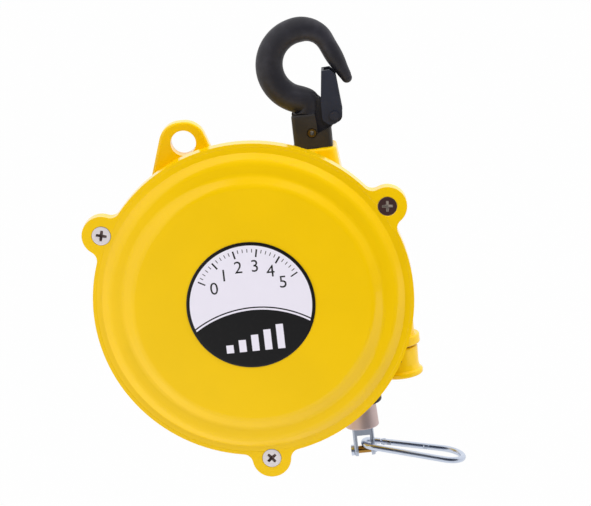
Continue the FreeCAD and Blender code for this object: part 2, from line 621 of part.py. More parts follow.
def latch_spring():
    """Torsion spring: coils round the rivet and one long leg on the web of the latch."""
    coil_r, wire_r, pitch, turns = 2.2, 0.3, 0.75, 2
    spine = Part.Wire(Part.makeHelix(pitch, pitch * turns, coil_r))
    section = Part.Wire(Part.Circle(V(coil_r, 0, 0), V(0, 1, 0), wire_r).toShape())
    coil = spine.makePipeShell([section], True, True)
    coil.rotate(V(0, 0, 0), V(0, 0, 1), 180)
    coil.rotate(V(0, 0, 0), V(1, 0, 0), -90)
    coil.translate(V(LATCH_X, LOAD_Y - 3.9, LATCH_Z))
    foot = V(LATCH_X - coil_r, LOAD_Y - 3.9, LATCH_Z - 0.4)
    end = V(45.95, LOAD_Y - 3.9, 99.6)
    leg = Part.makeCylinder(wire_r, (end - foot).Length, foot, end - foot)
    return coil.fuse(leg)


# ---------------------------------------------------------------- rope end
def cable_guide():
    """Flanged guide bush in the outlet, trumpet-shaped where the rope leaves."""
    return turned_z(ROPE_X, LOAD_Y, [
        (11.4, -67.0, 1.0), (11.4, GUIDE_Z, 0.4), (7.0, GUIDE_Z), (7.0, -49.2), (3.4, -49.2, 1.2),
        (2.2, -52, 2), (2.2, -61, 4), (4.4, -67.0, 1.5)])


def cable_run():
    """Taut rope between the drum and the ferrule."""
    return cyl_z(ROPE_X, LOAD_Y, ROPE_R, BUFFER_END_Z, -17.5)


def stop_buffer():
    return cyl_z(ROPE_X, LOAD_Y, 6.8, BUFFER_END_Z, SLEEVE_TOP_Z).cut(
        cyl_z(ROPE_X, LOAD_Y, ROPE_R + 0.3, -73, -67))


def bumper_sleeve():
    """Flared metal sleeve on the rope end, which stops against the guide."""
    return turned_z(ROPE_X, LOAD_Y, [
        (6.8, SLEEVE_TOP_Z), (8.1, SLEEVE_TOP_Z, 0.5), (8.7, SLEEVE_END_Z, 0.6),
        (2.55, SLEEVE_END_Z), (2.55, -78.2), (4.2, -78.2), (4.2, BUFFER_END_Z),
        (6.8, BUFFER_END_Z)])


def cable_ferrule():
    return turned_z(ROPE_X, LOAD_Y, [(0, -75.8), (4.15, -75.8, 0.8),
                                     (4.15, BUFFER_END_Z - 0.05, 0.8), (0, BUFFER_END_Z - 0.05)])


def swivel_clevis():
    """Headed stem and fork in one forging, with rounded prong ends."""
    stem = turned_z(ROPE_X, LOAD_Y, [
        (0, -81.5), (2.5, -81.5), (2.5, -78.0), (4.0, -78.0), (4.0, -75.95, 0.6), (0, -75.95)])
    side = Part.Face(rounded([(-3.3, -96.1, 3.2), (3.3, -96.1, 3.2), (3.3, -80.3, 0.8),
                              (-3.3, -80.3, 0.8)],
                             lambda a, b: V(ROPE_X - CLEVIS_HALF, LOAD_Y + a, b)))
    block = side.extrude(V(2 * CLEVIS_HALF, 0, 0))
    tops = [e for e in block.Edges if e.BoundBox.ZMin > -80.4 and e.BoundBox.XLength < 0.01]
    block = block.makeFillet(1.0, tops)
    gap = box(ROPE_X - CLEVIS_GAP, ROPE_X + CLEVIS_GAP, 20, 40, -98, -84.4)
    return joined(stem, block.cut(gap)).cut(cyl_x(LOAD_Y, CLEVIS_PIN_Z, 1.4, 30, 60))


def clevis_pin():
    head = cyl_x(LOAD_Y, CLEVIS_PIN_Z, 2.8, ROPE_X - CLEVIS_HALF - 1.6, ROPE_X - CLEVIS_HALF - 0.05)
    upset = cyl_x(LOAD_Y, CLEVIS_PIN_Z, 2.1, ROPE_X + CLEVIS_HALF + 0.05, ROPE_X + CLEVIS_HALF + 0.9)
    shank = cyl_x(LOAD_Y, CLEVIS_PIN_Z, 1.4, ROPE_X - CLEVIS_HALF - 1, ROPE_X + CLEVIS_HALF + 0.5)
    return joined(shank, head, upset)


def clevis_bush():
    half = CLEVIS_GAP - 0.15
    return cyl_x(LOAD_Y, CLEVIS_PIN_Z, BUSH_R, ROPE_X - half, ROPE_X + half).cut(
        cyl_x(LOAD_Y, CLEVIS_PIN_Z, 1.4 + RUN, 30, 60))


# ---------------------------------------------------------------- snap hook, drawn lying flat
def ring_tangent():
    """Start and end of the straight arm on the gate side, and its unit heading."""
    narrow, wide = V(RING_NARROW_R, RING_SEAT, 0), V(RING_WIDE_AT, 0, 0)
    between = wide - narrow
    angle = math.atan2(between.y, between.x)
    angle += math.asin((RING_WIDE_R - RING_NARROW_R) / between.Length)
    outward = V(-math.sin(angle), math.cos(angle), 0)
    start, end = narrow + outward * RING_NARROW_R, wide + outward * RING_WIDE_R
    return start, end, (end - start).normalize()


GATE_FROM, GATE_TO = 7.5, 27.0        # along the straight arm
GATE_RIVET_AT = 6.0


def hung(solid):
    """Move a piece of the flat snap hook to its place in the clevis."""
    placed = solid.copy()
    placed.rotate(V(0, 0, 0), V(0, 1, 0), RING_DROOP)
    placed.translate(V(ROPE_X, LOAD_Y, APEX_Z))
    return placed


def along_arm(distance):
    start, end, heading = ring_tangent()
    return start + heading * distance


def on_arm(solid):
    """Move a piece drawn along +X from the origin onto the gate arm."""
    start, end, heading = ring_tangent()
    placed = solid.copy()
    placed.rotate(V(0, 0, 0), V(0, 0, 1), math.degrees(math.atan2(heading.y, heading.x)))
    placed.translate(start)
    return placed


def mirrored(solid):
    return solid.mirror(V(0, 0, 0), V(0, 1, 0))


def bent_wire(middle, start, heading, degrees):
    """Wire bent about an upright line through middle, from start."""
    disc = Part.Face(Part.Wire(Part.Circle(start, heading, WIRE_R).toShape()))
    return disc.revolve(middle, V(0, 0, 1), degrees)


def straight_wire(start, end):
    return Part.makeCylinder(WIRE_R, (end - start).Length, start, end - start)


def snap_hook_body():
    """Pear-shaped wire ring, open where the gate closes it, with a tongue at each end."""
    start, end, heading = ring_tangent()
    tilt = math.degrees(math.atan2(heading.y, heading.x))
    small = bent_wire(V(RING_NARROW_R, RING_SEAT, 0), V(0, RING_SEAT, 0), V(0, 1, 0), tilt - 90)
    large = bent_wire(V(RING_WIDE_AT, 0, 0), end, heading, -180 - 2 * tilt)
    seat = straight_wire(V(0, -RING_SEAT, 0), V(0, RING_SEAT, 0))
    ring = joined(seat, small, mirrored(small), mirrored(straight_wire(start, end)), large,
                  straight_wire(start, along_arm(GATE_FROM)),
                  straight_wire(along_arm(GATE_TO), end))
    cheeks = [box(GATE_RIVET_AT - 2.2, GATE_FROM + 1, -3, 3, 0.65, 3),
              box(GATE_RIVET_AT - 2.2, GATE_FROM + 1, -3, 3, -3, -0.65),
              box(GATE_TO - 1, GATE_TO + 2.4, -3, 3, 0.65, 3),
              box(GATE_TO - 1, GATE_TO + 2.4, -3, 3, -3, -0.65),
              cyl_z(GATE_RIVET_AT, 0, 0.8, -4, 4)]
    return hung(ring.cut([on_arm(c) for c in cheeks]))


def snap_gate():
    """Round gate with a fork at the rivet and a slot that closes over the nose tongue."""
    bar = cyl_x(0, 0, WIRE_R, GATE_RIVET_AT - 1.7, GATE_TO + 2.0)
    fork = box(0, GATE_FROM + 2.0, -3, 3, -0.8, 0.8)
    nose = box(GATE_TO - 0.6, 40, -3, 3, -0.8, 0.8)
    ends = joined(cyl_z(GATE_RIVET_AT, 0, WIRE_R, -3, 3),
                  box(GATE_RIVET_AT, 40, -3, 3, -3, 3))
    gate = bar.common(ends).cut([fork, nose, cyl_z(GATE_RIVET_AT, 0, 0.7, -4, 4)])
    return hung(on_arm(gate))


def gate_rivet():
    return hung(on_arm(cyl_z(GATE_RIVET_AT, 0, 0.7, -1.7, 1.7)))


def gate_spring():
    """Leaf spring in the gate slot."""
    return hung(on_arm(box(GATE_FROM + 0.1, GATE_FROM + 1.9, 0.5, 0.8, -0.6, 0.6)))


PIECES = (
    rear_case, front_cover, cover_screws, label_plate,
    main_shaft, shaft_washer, shaft_nut, shaft_circlip, drum_spacer,
    cable_drum, drum_bushes, wound_cable,
    power_spring, spring_case, spring_case_lid, lid_rivets, spring_case_bush,
    worm_shaft, worm_bush, knob_washer, adjusting_knob, knob_pin,
    suspension_hook, swivel_socket, hook_pin, swivel_washers, swivel_nut,
    hook_latch, latch_rivet, latch_spring,
    cable_guide, cable_run, stop_buffer, bumper_sleeve, cable_ferrule,
    swivel_clevis, clevis_pin, clevis_bush,
    snap_hook_body, snap_gate, gate_rivet, gate_spring)

if __name__ == "__main__":
    os.makedirs("parts", exist_ok=True)
    for piece in PIECES:
        shape = piece()
        shape.translate(LOAD_POINT * -1)
        print(piece.__name__, "valid" if shape.isValid() else "NOT VALID",
              len(shape.Solids), "solids", round(shape.Volume / 1000, 2), "cm3")
        shape.exportStep("parts/" + piece.__name__ + ".step")
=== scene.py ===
"""Spring balancer: finishes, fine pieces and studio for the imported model."""
import json
import math

import bmesh
import bpy
import numpy as np
from mathutils import Matrix, Vector


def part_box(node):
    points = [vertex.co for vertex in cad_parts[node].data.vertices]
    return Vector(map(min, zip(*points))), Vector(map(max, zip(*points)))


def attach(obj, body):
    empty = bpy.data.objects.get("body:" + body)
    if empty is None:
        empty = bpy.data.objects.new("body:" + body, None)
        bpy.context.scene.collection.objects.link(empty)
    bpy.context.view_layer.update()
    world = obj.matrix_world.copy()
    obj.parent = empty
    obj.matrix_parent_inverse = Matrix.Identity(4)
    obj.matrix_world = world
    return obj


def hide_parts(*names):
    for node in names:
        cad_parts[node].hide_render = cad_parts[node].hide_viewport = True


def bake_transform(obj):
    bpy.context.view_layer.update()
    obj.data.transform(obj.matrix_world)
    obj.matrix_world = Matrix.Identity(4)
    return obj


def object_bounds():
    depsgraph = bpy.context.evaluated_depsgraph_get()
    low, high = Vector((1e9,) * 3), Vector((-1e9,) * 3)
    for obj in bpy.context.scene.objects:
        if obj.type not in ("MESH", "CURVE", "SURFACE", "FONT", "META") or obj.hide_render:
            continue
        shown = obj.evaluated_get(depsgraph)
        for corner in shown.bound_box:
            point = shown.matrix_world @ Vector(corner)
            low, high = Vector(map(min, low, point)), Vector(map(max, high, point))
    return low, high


bl_info = {
    "name": "Spring Balancer Finisher",
    "version": (1, 0, 0),
    "blender": (4, 5, 0),
    "location": "3D View > Sidebar > Balancer",
    "description": "Builds the visible pieces, finishes and studio of a spring balancer",
    "category": "Object",
}

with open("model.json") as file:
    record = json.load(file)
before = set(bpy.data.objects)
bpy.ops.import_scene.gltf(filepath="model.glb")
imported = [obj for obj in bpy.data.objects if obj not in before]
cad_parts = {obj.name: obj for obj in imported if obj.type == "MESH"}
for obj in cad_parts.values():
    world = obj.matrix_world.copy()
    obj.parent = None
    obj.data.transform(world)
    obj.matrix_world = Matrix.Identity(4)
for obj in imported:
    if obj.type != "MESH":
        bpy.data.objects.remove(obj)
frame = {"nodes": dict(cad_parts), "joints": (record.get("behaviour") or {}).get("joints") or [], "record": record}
CAD_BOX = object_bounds()
JOINTS = {j["name"]: j for j in frame["joints"]}
MM = 0.001                    # metres in a millimetre
MERGE = 1e-7                  # metres within which two points of a mesh are one

# Places in the row frame, in metres. Every round piece of the housing is centred on the drum axis.
AXIS_X, _, AXIS_Z = JOINTS["drum_spin"]["pos_m"]
SEAM_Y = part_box("rear_case")[0].y           # joint plane between cover and case
LOAD_Y = JOINTS["hook_swivel"]["pos_m"][1]  # plane in which the hook, the rope and the load hang
ROPE_X = JOINTS["lower_swivel"]["pos_m"][0]

# From here on in the modelling frame: millimetres right of, behind and above the drum axis at
# the seam, unless a comment says otherwise.
ROPE_MM = (ROPE_X - AXIS_X) / MM
LOAD_MM = (LOAD_Y - SEAM_Y) / MM
FACE_PLANE = -9.5             # flat middle of the cover

# Cover screws. A recess is two crossed slots, which taper and get shallower outwards.
SCREW_CIRCLE = 82.2           # radius on which the three screws stand
SCREW_ANGLES = {"left": 150, "right": 30, "low": -90}
HEAD_Y = -2.85                # flat of the screw heads, just below the face of the ears
FLAT_ROWS, FLAT_MARGIN = 34, 0.25                       # rings in the flat, and its edge left free
HEAD_EDGE = ((0.08, 0.03), (0, 0.12), (0.1, 0.3))       # inwards from the edge, behind the flat
SHANK = ((2.5, -0.5), (2.5, 4.0), (2.5, 10.2), (1.7, 11.0), (0.9, 11.0), (0, 11.0))  # radius, y
SLOT_HALF, SLOT_TAPER = 0.86, 0.06                      # half width, and less of it per mm out
SLOT_WALL, SLOT_END = 0.2, 0.35                         # widths of the slopes at side and end
SLOT_DEEP, SLOT_RISE, SLOT_SHALLOW = 1.9, 0.42, 0.4     # depth, less of it per mm out, least depth
# painted shade: the dark line round each head stands for the shadow in its gap
GAP_SHADE_WIDTH, GAP_SHADE_TONE = 0.2, 0.45                       # dark line in the gap round each head

# Rim: the flat beside the bead, from its hollow corner (radius, y) to its edge (inwards, y).
LAND_Y = -2.93                # flat beside the rim bead, just below the face of the bead
LAND_OUTER = 78.35            # radius at the bead
LAND_BACK = -2.6              # back of the ring, inside the cover
LAND_CORNER = ((75.1, LAND_BACK), (75.1, -3.1), (75.4, -3.04), (75.75, -2.98), (76.15, -2.94))
LAND_EDGE = ((0.3, LAND_Y), (0.05, LAND_Y + 0.02), (0, LAND_Y + 0.1), (0, LAND_BACK))
SCREW_GAP = 0.15              # between a screw's head and the land

# Label: its print is measured from its own middle.
LABEL_X = -1.0                # the label sits a little left of the drum axis
LABEL_THICK = 0.34
LABEL_EDGE = ((0.12, 0), (0.03, 0.04), (0, 0.12))       # inwards from the edge, behind the front
PRINT_EDGE = 0.12             # soft edge of the ink
HILL_R, HILL_DROP = 52.0, 54.5                          # dark hill: radius, and how far down
LINE_GAP, LINE_WIDTH, LINE_SOFT = 0.8, 0.7, 0.1         # thin line above the hill
BARS, BAR_PITCH, BAR_HALF = 5, 6.4, 1.75                # count, distance and half width
BAR_FOOT, BAR_TOP, BAR_GROWTH = -23.5, -19.5, 2.1       # foot, top of the first, more for each next
SCALE_SPAN = math.radians(120)                          # arc from the first number to the last
SCALE_SLACK = 0.01            # radians by which the scale's end marks may pass its span
MARK_OUTER = 28.6             # radius at which all marks end
LONG_HALF, LONG_INNER = 0.42, 24.6                      # marks at the numbers
SHORT_HALF, SHORT_INNER, SHORT_SHARE = 0.2, 26.8, 5     # marks between, and how many to a number
DIGIT_ARC = 19.8              # radius of the arc on which the numbers stand
FONT_SIZE = 1.4               # size of the font for a number's height of 1
DIGIT_RELIEF = 0.02           # how far the numbers stand out

# Rope: RUN is its free part, and it lies on the drum in one groove for each turn.
RUN_TOP, RUN_END = -17.5, -71.3                         # inside the guide, inside the sleeve
TURNS, LAST_GROOVE = 5.96, 5
GROOVE_RISE, GROOVE_PITCH = 0.8, 3.4                    # further out and back at each groove
CROSSING = 0.1                # share of a turn in which the rope steps over to the next groove
VALLEY, RIDGE = 0.84, 0.15    # radius between two strands and what a strand adds, as shares

# Stage, in metres. Lamps stand off the middle of the CAD box and face it.
LAMPS = {"key": (0.45, -0.4, 0.85), "fill": (-0.7, -0.4, -0.65)}
LAMP_WIDTH = 0.7
SENSOR_MM = 36
FAR_CLIP = 20
FLOOR_X, FLOOR_Y, FLOOR_LINES = (-8, 8), (-2.5, 14), 9
FLOOR_GAP = 0.05              # below the end of the rope that is pulled right out
FLOOR_GLOW = 0.93             # share of white in the floor where it is seen or mirrored
WHITE = (1, 1, 1)


def at(x, y, z):
    """Point in the row frame, in metres, of a point in the modelling frame, in millimetres."""
    return Vector((AXIS_X + x * MM, SEAM_Y + y * MM, AXIS_Z + z * MM))


# ------------------------------------------------------------------ shader arithmetic
class Num:
    """A number socket that takes part in Python arithmetic; each operation adds a Math node."""

    def __init__(self, graph, socket):
        self.graph = graph
        self.socket = socket

    def math(self, operation, *others):
        """Any operation of the Math node on this number and the others, in that order."""
        return self.graph.number("ShaderNodeMath", {"operation": operation},
                                 dict(enumerate((self,) + others)))

    def __add__(self, other):
        return self.math("ADD", other)

    def __sub__(self, other):
        return self.math("SUBTRACT", other)

    def __mul__(self, other):
        return self.math("MULTIPLY", other)

    def __rsub__(self, other):
        return self.graph.number("ShaderNodeMath", {"operation": "SUBTRACT"},
                                 {0: other, 1: self})

    def __lt__(self, other):
        return self.math("LESS_THAN", other)

    def __gt__(self, other):
        return self.math("GREATER_THAN", other)

    __radd__ = __add__
    __rmul__ = __mul__


class Graph:
    """A node tree, the one call that adds nodes to it, and short forms of that call."""

    def __init__(self, tree):
        self.tree = tree

    def node(self, kind, settings=None, inputs=None):
        """Node of a type, with its settings first and then the values or links of its sockets."""
        made = self.tree.nodes.new(kind)
        for key, value in (settings or {}).items():
            setattr(made, key, value)
        for key, value in (inputs or {}).items():
            if isinstance(value, Num):
                value = value.socket
            if isinstance(value, bpy.types.NodeSocket):
                self.tree.links.new(value, made.inputs[key])
            else:
                made.inputs[key].default_value = value
        return made

    def number(self, kind, settings=None, inputs=None, output=0):
        """A node's output, as a number for arithmetic."""
        return Num(self, self.node(kind, settings, inputs).outputs[output])

    def band(self, value, low, high):
        """0 at low and below, 1 at high and above, smooth between."""
        return self.number("ShaderNodeMapRange", {"interpolation_type": "SMOOTHSTEP"},
                           {"Value": value, "From Min": low, "From Max": high})

    def blend(self, factor, first, second):
        """Colour between two colours, each a tuple or a socket."""
        a, b = ((*c, 1) if isinstance(c, tuple) else c for c in (first, second))
        return self.node("ShaderNodeMix", {"data_type": "RGBA"},
                         {0: factor, 6: a, 7: b}).outputs[2]


class Finish(Graph):
    """A material with a Principled surface. What is the same all over is set by name."""

    def __init__(self, name, **constants):
        self.material = bpy.data.materials.new(name)
        self.material.use_nodes = True
        super().__init__(self.material.node_tree)
        self.surface = self.tree.nodes["Principled BSDF"]
        for socket, value in constants.items():
            self.surface.inputs[socket.replace("_", " ")].default_value = value

    def place(self, origin=(0, 0, 0)):
        """Vector in millimetres from an origin in the row frame, itself in metres."""
        spot = self.node("ShaderNodeTexCoord").outputs["Object"]
        return self.node("ShaderNodeMapping", {"vector_type": "POINT"},
                         {"Vector": spot, "Location": tuple(-v / MM for v in origin),
                          "Scale": (1 / MM,) * 3}).outputs[0]

    def axes(self, where):
        """X, Y and Z of a vector, as numbers."""
        return [Num(self, p) for p in self.node("ShaderNodeSeparateXYZ", None, {0: where}).outputs]

    def noise(self, where, per_mm, detail=3, rough=0.5):
        """Noise with that many blobs to a millimetre, a number around 0.5."""
        return self.number("ShaderNodeTexNoise", None,
                           {"Vector": where, "Scale": per_mm, "Detail": detail,
                            "Roughness": rough})

    def feed(self, socket, value):
        """What changes over the surface, led to one of its sockets."""
        self.tree.links.new(value.socket if isinstance(value, Num) else value,
                            self.surface.inputs[socket])

    def tones(self, share, first, second):
        """Base colour that goes from the first colour to the second by a share."""
        self.feed("Base Color", self.blend(share, first, second))

    def bump(self, height, depth_mm):
        """Relief that stands a depth out of the surface where the height is 1."""
        made = self.node("ShaderNodeBump", None, {"Height": height, "Distance": depth_mm * MM})
        self.feed("Normal", made.outputs[0])


def srgb(r, g, b):
    """Linear colour of an sRGB colour given in 0 to 255, by the formula of that standard."""
    shares = [v / 255 for v in (r, g, b)]
    return tuple(v / 12.92 if v <= 0.04045 else ((v + 0.055) / 1.055) ** 2.4 for v in shares)


def scaled(colour, by):
    """A colour made darker or brighter."""
    return tuple(min(1.0, v * by) for v in colour)


# ------------------------------------------------------------------ settings
def colour_setting(name, description, colour):
    return bpy.props.FloatVectorProperty(name=name, description=description, subtype="COLOR",
                                         size=3, min=0, max=1, default=srgb(*colour))


def length_setting(name, description, millimetres):
    return bpy.props.FloatProperty(name=name, description=description, min=0,
                                   default=millimetres * MM, subtype="DISTANCE", unit="LENGTH")


def angle_setting(name, description, degrees):
    return bpy.props.FloatProperty(name=name, description=description, subtype="ANGLE",
                                   default=math.radians(degrees), unit="ROTATION")


class BalancerLook(bpy.types.PropertyGroup):
    paint: colour_setting("Paint", "Powder paint of housing, cover and knob", (244, 198, 0))
    hook: colour_setting("Hook", "Blackened steel of the hook", (36, 35, 41))
    latch: colour_setting("Latch", "Blackened sheet of the latch", (39, 42, 55))
    fork: colour_setting("Fork", "Blackened steel of the swivel fork", (45, 42, 41))
    sleeve: colour_setting("Sleeve", "Turned sleeve at the rope end", (228, 207, 205))
    zinc: colour_setting("Zinc", "Bright plating of clevis and snap hook", (208, 217, 234))
    bronze: colour_setting("Bronze", "Bushes and the roll pin", (176, 132, 62))
    label_field: colour_setting("Label field", "Pale part of the label", (236, 231, 243))
    label_ink: colour_setting("Label ink", "Dark part of the label", (15, 14, 15))
    screw: colour_setting("Screws", "Plated cover screws", (244, 236, 238))
    dark_screw: colour_setting("Odd screw", "Browned screw at the upper right", (74, 48, 46))


class BalancerSizes(bpy.types.PropertyGroup):
    label_radius: length_setting("Label radius", "Outer radius of the label", 32.0)
    label_ring: length_setting("Label ring", "Width of the dark ring round the label", 1.6)
    digit_height: length_setting("Digit height", "Height of the numbers on the label", 6.2)
    digits: bpy.props.IntProperty(name="Highest number", default=5, min=1, max=9,
                                  description="Last number on the scale of the label")
    screw_head: length_setting("Screw head radius", "Radius of the countersunk heads", 4.75)
    recess_arm: length_setting("Recess arm", "Half length of the cross in a screw head", 2.8)
    rope_radius: length_setting("Rope radius", "Half of the rope's thickness", 1.5)
    rope_lay: length_setting("Rope lay", "Length in which a strand goes round once", 22.0)
    strands: bpy.props.IntProperty(name="Strands", default=6, min=3, max=12,
                                   description="Outer strands of the rope")


class BalancerStageSettings(bpy.types.PropertyGroup):
    azimuth: angle_setting("Azimuth", "How far the camera stands to the right of the front", 3.66)
    elevation: angle_setting("Elevation", "How far the camera looks down", 14.28)
    roll: angle_setting("Roll", "Tilt of the housing in the picture, counter-clockwise", 6.74)
    distance: length_setting("Distance", "Camera to the middle of the cover", 1300)
    lens: bpy.props.FloatProperty(
        name="Lens", description="Focal length in millimetres on a 36 mm wide sensor",
        default=158.8, min=20, unit="CAMERA")
    aim_right: length_setting("Aim right", "From the cover's middle to the picture's middle",
                              20.9)
    aim_up: length_setting("Aim up", "From the cover's middle up to the picture's middle", 23.4)
    key_power: bpy.props.FloatProperty(
        name="Key light", description="Power of the large soft light", default=5.4, min=0,
        unit="POWER")
    fill_power: bpy.props.FloatProperty(
        name="Fill light", description="Power of the soft light from the lower left",
        default=4.6, min=0, unit="POWER")
    sky: bpy.props.FloatProperty(
        name="Sky", description="Strength of the even light from all sides", default=1.1, min=0)
    front_dim: bpy.props.FloatProperty(
        name="Front dim", description="Share of the even light missing straight in front",
        default=0.8, min=0, max=1, subtype="FACTOR")


def look(name):
    """A colour of the look settings."""
    return tuple(getattr(bpy.context.scene.balancer_look, name))


def size(name):
    """A length of the size settings, in millimetres."""
    return getattr(bpy.context.scene.balancer_sizes, name) / MM


# ------------------------------------------------------------------ finishes
def yellow_paint():
    """Glossy powder paint: faint orange peel and a slow drift of tone."""
    f = Finish("yellow_paint", Specular_IOR_Level=0.4)
    where = f.place()
    drift = f.band(f.noise(where, per_mm=0.03), 0.3, 0.7)
    f.tones(drift, scaled(look("paint"), by=0.975), scaled(look("paint"), by=1.01))
    f.feed("Roughness", f.noise(where, per_mm=0.35) * 0.08 + 0.12)
    peel = f.noise(where, per_mm=0.55, detail=2) + f.noise(where, per_mm=2.2, detail=2) * 0.25
    f.bump(peel, depth_mm=0.01)
    return f.material


def black_coat(name, colour, rough=0.5, grain=0.05, glints=1.6):
    """Forged and blackened steel: scale pits, rubbed brighter patches."""
    f = Finish(name, Specular_IOR_Level=0.35)
    where = f.place()
    patches = f.band(f.noise(where, per_mm=0.11, detail=5, rough=0.6), 0.4, 0.7)
    pits = f.noise(where, per_mm=1.1, detail=6, rough=0.65)
    f.tones(patches, colour, scaled(colour, by=glints))
    f.feed("Roughness", patches * -0.08 + pits * 0.18 + (rough - 0.05))
    f.bump(pits, depth_mm=grain)
    return f.material


def bright_zinc(name, colour, rough=0.28):
    """Bright plated steel: fine drawing marks and a slight cloudiness."""
    f = Finish(name, Metallic=1.0)
    where = f.place()
    cloud = f.noise(where, per_mm=0.25, detail=4, rough=0.6)
    marks = f.noise(where, per_mm=2.6, detail=6, rough=0.7)
    f.tones(cloud, scaled(colour, by=0.8), colour)
    f.feed("Roughness", cloud * 0.12 + marks * 0.08 + (rough - 0.08))
    f.bump(marks, depth_mm=0.006)
    return f.material


def turned_metal(name, colour, axis, rough=0.3):
    """Turned metal: rings across the axis that fade in and out, as a lathe leaves them. The
    noise is read along the axis alone, which makes rings of it."""
    f = Finish(name, Metallic=1.0)
    where = f.place()
    line = f.node("ShaderNodeCombineXYZ", None, {axis: f.axes(where)[axis]}).outputs[0]
    rings = f.noise(line, per_mm=3.2, detail=4, rough=0.7)
    cloud = f.noise(where, per_mm=0.3)
    f.tones(rings, scaled(colour, by=0.78), colour)
    f.feed("Roughness", cloud * 0.1 + rings * 0.12 + (rough - 0.1))
    f.bump(rings, depth_mm=0.02)
    return f.material


def moulded(name, colour, rough=0.5):
    """Moulded plastic or rubber with a fine matt grain."""
    f = Finish(name)
    where = f.place()
    grain = f.noise(where, per_mm=2.2)
    f.tones(f.noise(where, per_mm=0.2, detail=2), colour, scaled(colour, by=1.3))
    f.feed("Roughness", grain * 0.15 + (rough - 0.08))
    f.bump(grain, depth_mm=0.015)
    return f.material


def screw_metal(name, colour, recess):
    """Plated screw: the recess, marked by a point attribute that is 1 there, has a colour of its own;
    on the plated screws that colour is painted shade. A low value of the attribute, as in the
    ring at the edge of the head, gives a mix of the two, which is painted shade in the gap round the head."""
    f = Finish(name, Metallic=0.4)
    where = f.place()
    sink = f.number("ShaderNodeAttribute", {"attribute_name": "sink"}, output="Fac")
    cloud = f.noise(where, per_mm=0.6, detail=4, rough=0.6)
    plating = f.blend(cloud, scaled(colour, by=0.86), colour)
    # painted shade: the recess colour goes where the point attribute marks the slots and the ring at the head's
    # edge
    f.tones(f.band(sink, 0.15, 0.6), plating, recess)
    f.feed("Roughness", cloud * 0.15 + 0.24)
    f.bump(f.noise(where, per_mm=3.0, detail=4), depth_mm=0.008)
    return f.material


def stranded_rope():
    """Twisted wires: slanted ridges that run round the rope, with fine wires across them."""
    f = Finish("rope_steel", Metallic=1.0)
    x, y, z = f.axes(f.place((ROPE_X, LOAD_Y, 0)))
    around = x.math("ARCTAN2", y)
    twist = 2 * math.pi / size("rope_lay")
    strands = bpy.context.scene.balancer_sizes.strands
    ridge = (around * strands + z * (strands * twist)).math("SINE")
    wires = (around * (strands * 4) - z * (strands * twist * 4)).math("SINE")
    # painted shade: the valleys between the strands are coloured darker than the ridges
    f.tones(f.band(ridge, -1, 0.4), srgb(70, 70, 72), srgb(176, 176, 178))
    f.feed("Roughness", ridge * -0.08 + 0.36)
    f.bump(ridge + wires * 0.2, depth_mm=0.1)
    return f.material


def label_print():
    """Printed disc: pale field, dark ring, scale marks on an arc, and a dark hill with bars
    that grow to the right. The hill is a circle about a point far below the label, and each
    shape is a mask that is 1 where its ink lies."""
    f = Finish("label_print", Coat_Weight=0.1, Coat_Roughness=0.15, Specular_IOR_Level=0.3)
    where = f.place(at(LABEL_X, 0, 0))
    x, _, z = f.axes(where)
    r = (x * x + z * z).math("SQRT")
    hill_r = (x * x + (z + HILL_DROP) * (z + HILL_DROP)).math("SQRT")
    swept = (math.pi / 2 + SCALE_SPAN / 2) - z.math("ARCTAN2", x)

    def line(value, low, high, soft):
        """Stripe that is 1 from low to high, with a soft step just above each of the two."""
        return f.band(value, low, low + soft) * (1 - f.band(value, high, high + soft))

    def marks(pitch, half_width, inner):
        """Radial lines at equal angles, from an inner radius to the outer one of all marks."""
        beside = ((swept + pitch / 2).math("FLOORED_MODULO", pitch) - pitch / 2).math("ABSOLUTE")
        on_line = 1 - f.band(beside * r, half_width - PRINT_EDGE / 2, half_width + PRINT_EDGE / 2)
        return on_line * (r > inner) * (r < MARK_OUTER)

    def bar(k):
        """Upright bar, counted from the left."""
        aside = (x - (k - (BARS - 1) / 2) * BAR_PITCH).math("ABSOLUTE")
        across = 1 - f.band(aside, BAR_HALF, BAR_HALF + PRINT_EDGE)
        return across * line(z, BAR_FOOT - PRINT_EDGE, BAR_TOP + k * BAR_GROWTH, PRINT_EDGE)

    inside_ring = size("label_radius") - size("label_ring")
    ring = f.band(r, inside_ring - PRINT_EDGE, inside_ring)
    hill = 1 - f.band(hill_r, HILL_R - PRINT_EDGE, HILL_R)
    hill_line = line(hill_r, HILL_R + LINE_GAP, HILL_R + LINE_GAP + LINE_WIDTH, LINE_SOFT)
    step = SCALE_SPAN / bpy.context.scene.balancer_sizes.digits
    scale = marks(step, LONG_HALF, LONG_INNER) + marks(step / SHORT_SHARE, SHORT_HALF, SHORT_INNER)
    in_scale = (swept > -SCALE_SLACK) * (swept < SCALE_SPAN + SCALE_SLACK)
    bars = sum(bar(k) for k in range(BARS))
    dark = (ring + hill + scale * in_scale + hill_line).math("MINIMUM", 1.0) * (1 - bars)

    cloud = f.noise(where, per_mm=0.12)
    field = f.blend(cloud, scaled(look("label_field"), by=0.97), look("label_field"))
    worn = f.band(f.noise(where, per_mm=0.5, detail=4, rough=0.6), 0.45, 0.8)
    ink = f.blend(worn, look("label_ink"), scaled(look("label_ink"), by=1.6))
    f.tones(dark, field, ink)
    f.feed("Roughness", cloud * 0.1 + 0.28)
    f.bump(f.noise(where, per_mm=0.8, detail=2), depth_mm=0.006)
    return f.material


FINISHES = {}                 # the finishes made so far, by name


